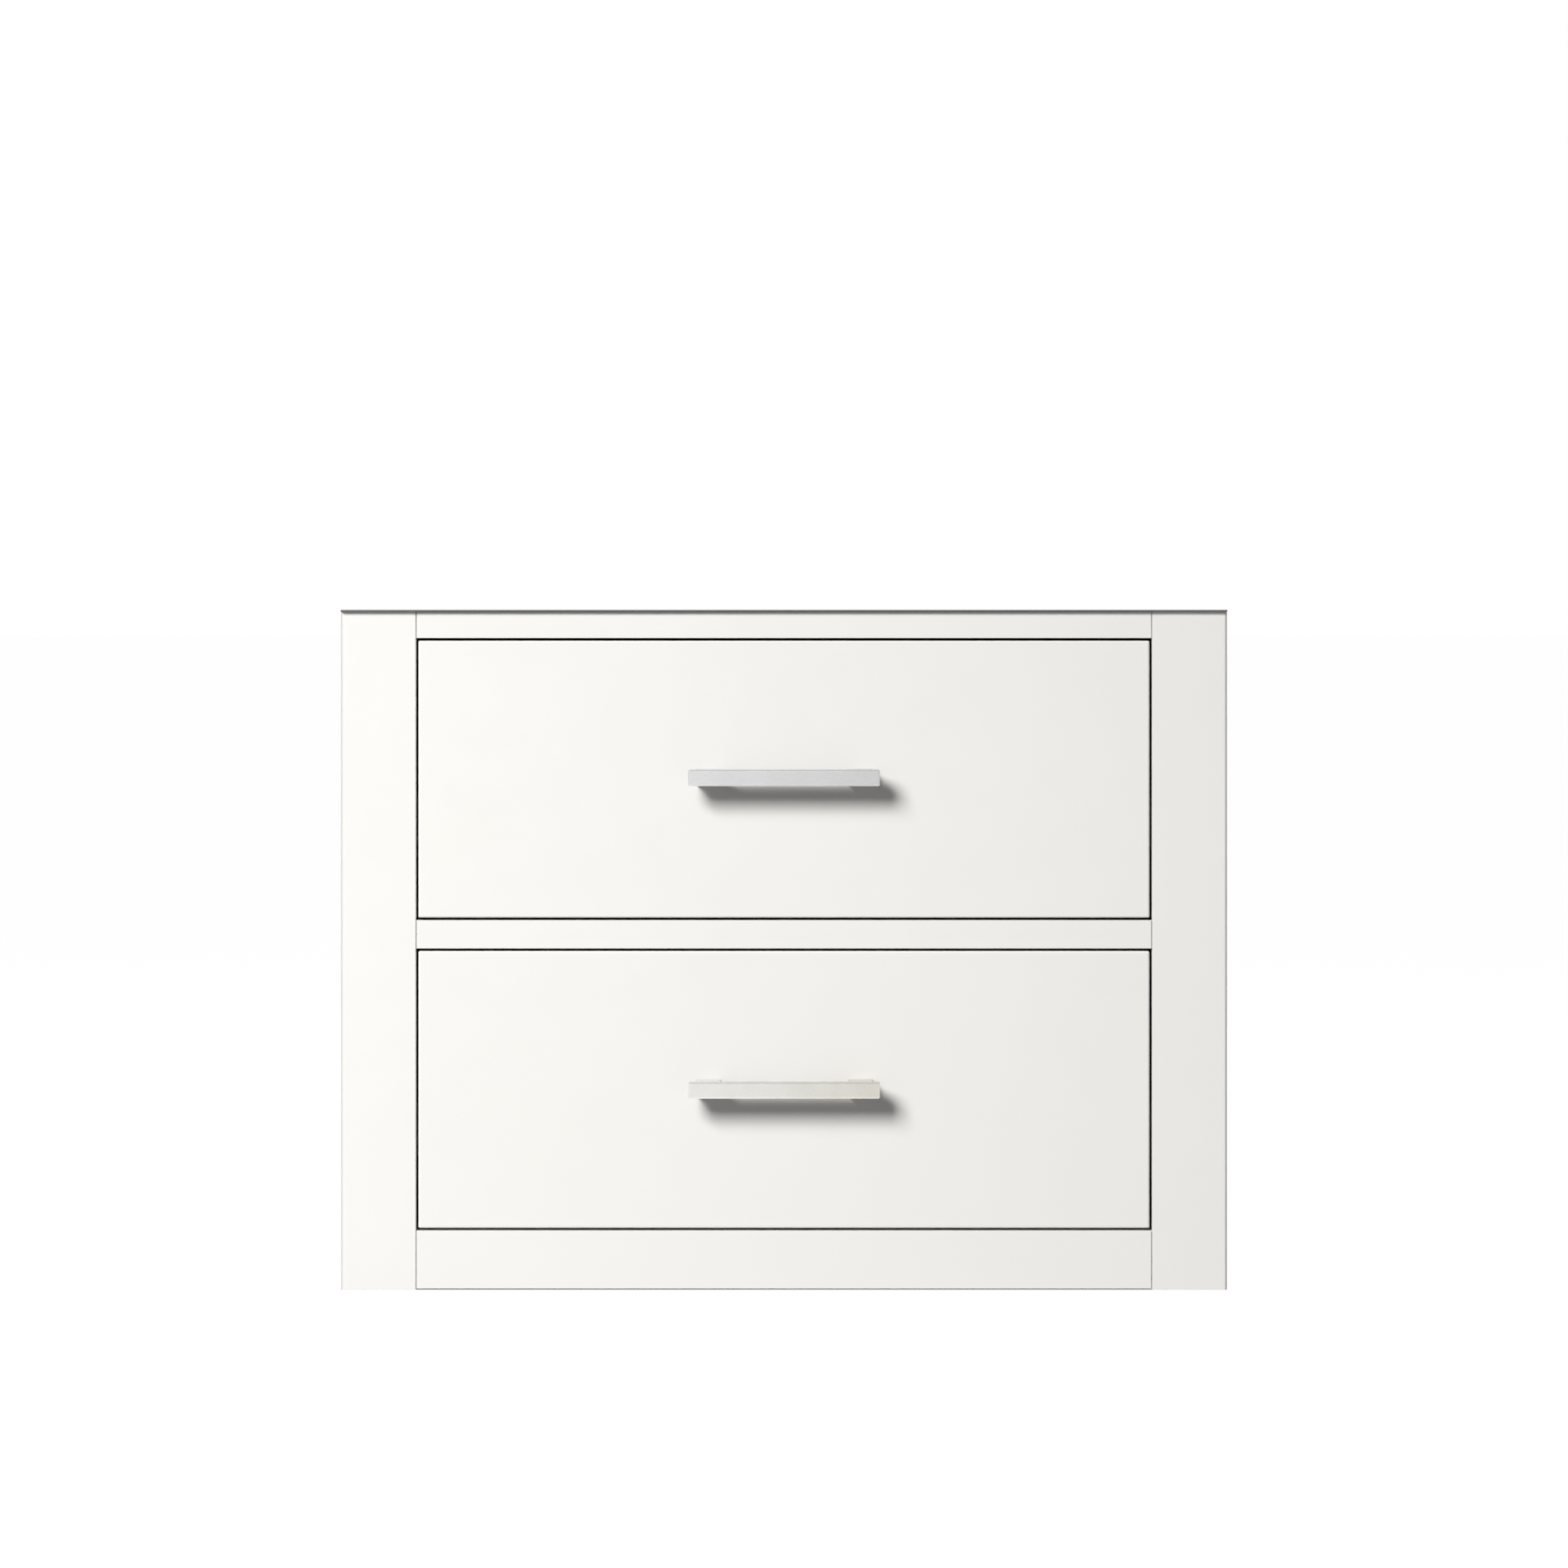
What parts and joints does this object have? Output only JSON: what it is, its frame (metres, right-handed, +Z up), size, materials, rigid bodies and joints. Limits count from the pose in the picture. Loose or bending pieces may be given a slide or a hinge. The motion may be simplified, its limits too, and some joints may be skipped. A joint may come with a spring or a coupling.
{
  "type": "nightstand with drawers",
  "caption": "White lacquered nightstand with a flush face frame, inset drawers on ball-bearing runners, square bar handles and a thin top sheet.",
  "frame": {"origin": "on the floor, under the middle of the overall box, handles included", "axes": "+Z up; -Y is the front, where the drawers open; +X to the right as one faces the front"},
  "size_m": [0.7632, 0.49, 0.5855],
  "materials": {
    "white_lacquer": "warm white satin lacquer over hardwood and panel",
    "top_laminate": "thin compact laminate, warm white face over a dark grey core that shows at its edge",
    "plywood": "clear-sealed birch plywood",
    "back_board": "painted thin board",
    "drawer_wood": "clear-sealed solid wood, dovetailed",
    "beech": "fluted beech dowel",
    "brushed_nickel": "satin brushed nickel",
    "zinc_steel": "bright zinc-plated pressed steel"
  },
  "bodies": {
    "cabinet": {"top_rail": "white_lacquer", "middle_rail": "white_lacquer", "bottom_rail": "white_lacquer", "left_stile": "white_lacquer", "right_stile": "white_lacquer", "left_side_panel": "white_lacquer", "right_side_panel": "white_lacquer", "top_sheet": "top_laminate", "top_board": "plywood", "bottom_panel": "plywood", "rear_bottom_rail": "plywood", "back_panel": "back_board", "corner_blocks": "plywood", "carcass_dowels": "beech", "cabinet_wood_screws": "zinc_steel", "back_panel_screws": "zinc_steel", "runner_cabinet_screws": "zinc_steel", "upper_left_runner_block": "plywood", "upper_left_runner_outer": "zinc_steel", "upper_right_runner_block": "plywood", "upper_right_runner_outer": "zinc_steel", "lower_left_runner_block": "plywood", "lower_left_runner_outer": "zinc_steel", "lower_right_runner_block": "plywood", "lower_right_runner_outer": "zinc_steel"},
    "upper_drawer": {"upper_drawer_front": "white_lacquer", "upper_drawer_box_front": "drawer_wood", "upper_drawer_box_back": "drawer_wood", "upper_drawer_bottom": "plywood", "upper_drawer_left_side": "drawer_wood", "upper_drawer_right_side": "drawer_wood", "upper_left_runner_inner": "zinc_steel", "upper_right_runner_inner": "zinc_steel", "upper_handle_bar": "brushed_nickel", "upper_handle_feet": "brushed_nickel", "upper_handle_screws": "zinc_steel", "upper_drawer_front_screws": "zinc_steel", "upper_runner_drawer_screws": "zinc_steel"},
    "upper_runner_middles": {"upper_left_runner_middle": "zinc_steel", "upper_right_runner_middle": "zinc_steel"},
    "upper_outer_cages": {"upper_outer_ball_cages": "zinc_steel"},
    "upper_inner_cages": {"upper_inner_ball_cages": "zinc_steel"},
    "lower_drawer": {"lower_drawer_front": "white_lacquer", "lower_drawer_box_front": "drawer_wood", "lower_drawer_box_back": "drawer_wood", "lower_drawer_bottom": "plywood", "lower_drawer_left_side": "drawer_wood", "lower_drawer_right_side": "drawer_wood", "lower_left_runner_inner": "zinc_steel", "lower_right_runner_inner": "zinc_steel", "lower_handle_bar": "brushed_nickel", "lower_handle_feet": "brushed_nickel", "lower_handle_screws": "zinc_steel", "lower_drawer_front_screws": "zinc_steel", "lower_runner_drawer_screws": "zinc_steel"},
    "lower_runner_middles": {"lower_left_runner_middle": "zinc_steel", "lower_right_runner_middle": "zinc_steel"},
    "lower_outer_cages": {"lower_outer_ball_cages": "zinc_steel"},
    "lower_inner_cages": {"lower_inner_ball_cages": "zinc_steel"}
  },
  "joints": [
    {"name": "upper_drawer_slide", "type": "slide", "parent": "cabinet", "child": "upper_drawer", "axis": [0, -1, 0], "range_m": [0, 0.38]},
    {"name": "upper_runner_middles_slide", "type": "slide", "parent": "cabinet", "child": "upper_runner_middles", "axis": [0, -1, 0], "range_m": [0, 0.19]},
    {"name": "upper_outer_cages_slide", "type": "slide", "parent": "cabinet", "child": "upper_outer_cages", "axis": [0, -1, 0], "range_m": [0, 0.095]},
    {"name": "upper_inner_cages_slide", "type": "slide", "parent": "cabinet", "child": "upper_inner_cages", "axis": [0, -1, 0], "range_m": [0, 0.285]},
    {"name": "lower_drawer_slide", "type": "slide", "parent": "cabinet", "child": "lower_drawer", "axis": [0, -1, 0], "range_m": [0, 0.38]},
    {"name": "lower_runner_middles_slide", "type": "slide", "parent": "cabinet", "child": "lower_runner_middles", "axis": [0, -1, 0], "range_m": [0, 0.19]},
    {"name": "lower_outer_cages_slide", "type": "slide", "parent": "cabinet", "child": "lower_outer_cages", "axis": [0, -1, 0], "range_m": [0, 0.095]},
    {"name": "lower_inner_cages_slide", "type": "slide", "parent": "cabinet", "child": "lower_inner_cages", "axis": [0, -1, 0], "range_m": [0, 0.285]}
  ],
  "couplings": [
    {"joint": "upper_runner_middles_slide", "follows": "upper_drawer_slide", "ratio": 0.5},
    {"joint": "upper_outer_cages_slide", "follows": "upper_drawer_slide", "ratio": 0.25},
    {"joint": "upper_inner_cages_slide", "follows": "upper_drawer_slide", "ratio": 0.75},
    {"joint": "lower_runner_middles_slide", "follows": "lower_drawer_slide", "ratio": 0.5},
    {"joint": "lower_outer_cages_slide", "follows": "lower_drawer_slide", "ratio": 0.25},
    {"joint": "lower_inner_cages_slide", "follows": "lower_drawer_slide", "ratio": 0.75}
  ]
}
